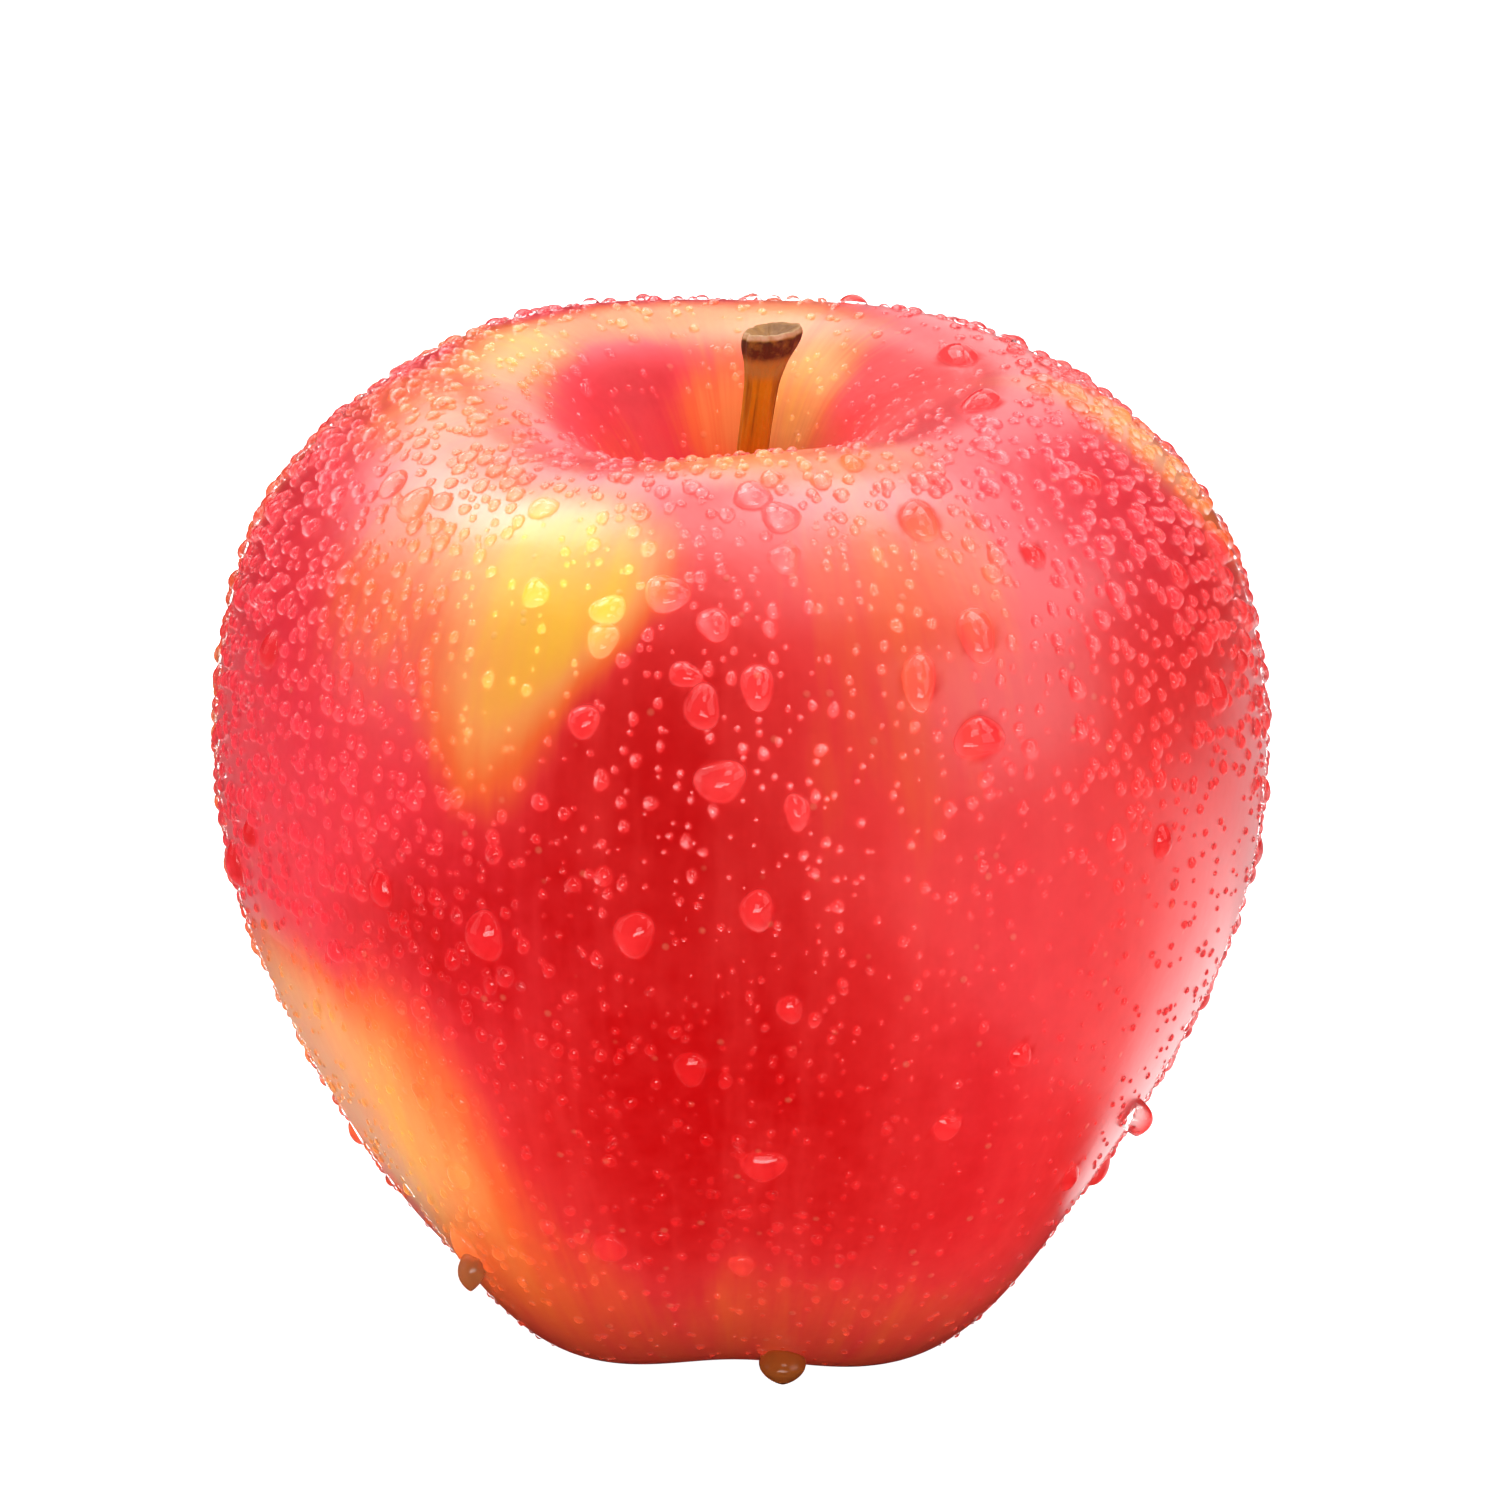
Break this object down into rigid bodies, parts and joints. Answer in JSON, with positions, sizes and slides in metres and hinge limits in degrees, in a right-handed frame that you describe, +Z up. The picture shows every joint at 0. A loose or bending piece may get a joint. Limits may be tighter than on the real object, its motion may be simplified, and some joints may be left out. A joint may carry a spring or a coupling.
{
  "type": "red apple",
  "caption": "Ripe red and yellow apple with water drops, a woody stem and a dried calyx, standing on the ribs of its base.",
  "frame": {"origin": "on the surface that the fruit stands on, below the middle of the fruit", "axes": "+Z up along the core line towards the stem, -Y towards the front of the fruit, +X to its right seen from the front"},
  "size_m": [0.076, 0.0758, 0.0728],
  "materials": {
    "skin": "gloss",
    "stem": "satin",
    "calyx": "matte",
    "water": "polished"
  },
  "bodies": {
    "root": {"fruit": "skin", "stem": "stem", "calyx": "calyx"}
  },
  "joints": []
}
